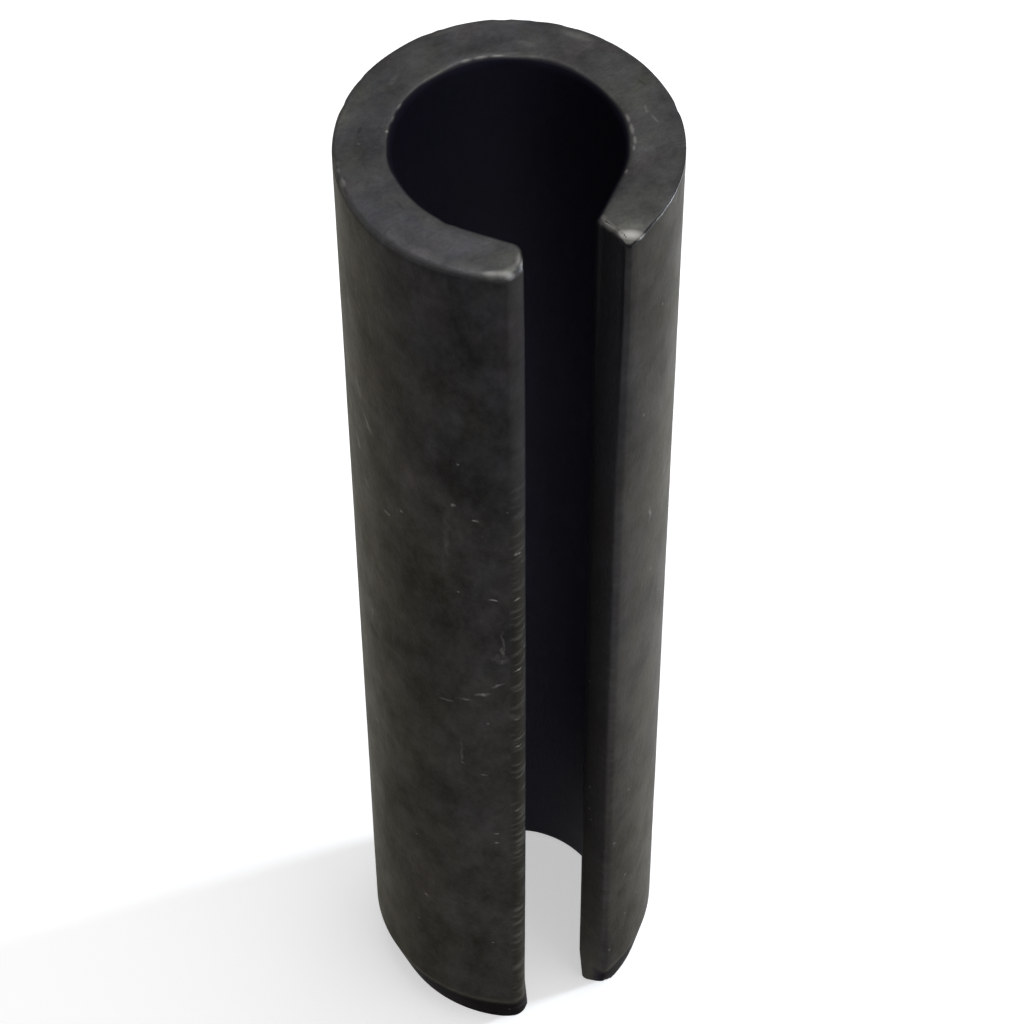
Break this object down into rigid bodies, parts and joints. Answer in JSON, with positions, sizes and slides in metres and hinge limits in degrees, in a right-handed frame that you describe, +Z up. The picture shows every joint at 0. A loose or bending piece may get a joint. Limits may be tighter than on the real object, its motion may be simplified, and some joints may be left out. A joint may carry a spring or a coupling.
{
  "type": "spring roll pin",
  "caption": "Slotted spring pin: a strip of spring steel rolled into an open tube, with a long chamfer at the end that leads it into its hole.",
  "frame": {"origin": "on the pin's axis, at the face of its chamfered end, which it stands on", "axes": "+Z up along the pin towards the driven end; the slot opens towards -Y"},
  "size_m": [0.0086, 0.0084, 0.036],
  "materials": {
    "spring_steel": "hardened and tempered spring steel, tumbled and oiled, dark brownish grey"
  },
  "bodies": {
    "root": {"spring_pin": "spring_steel"}
  },
  "joints": []
}
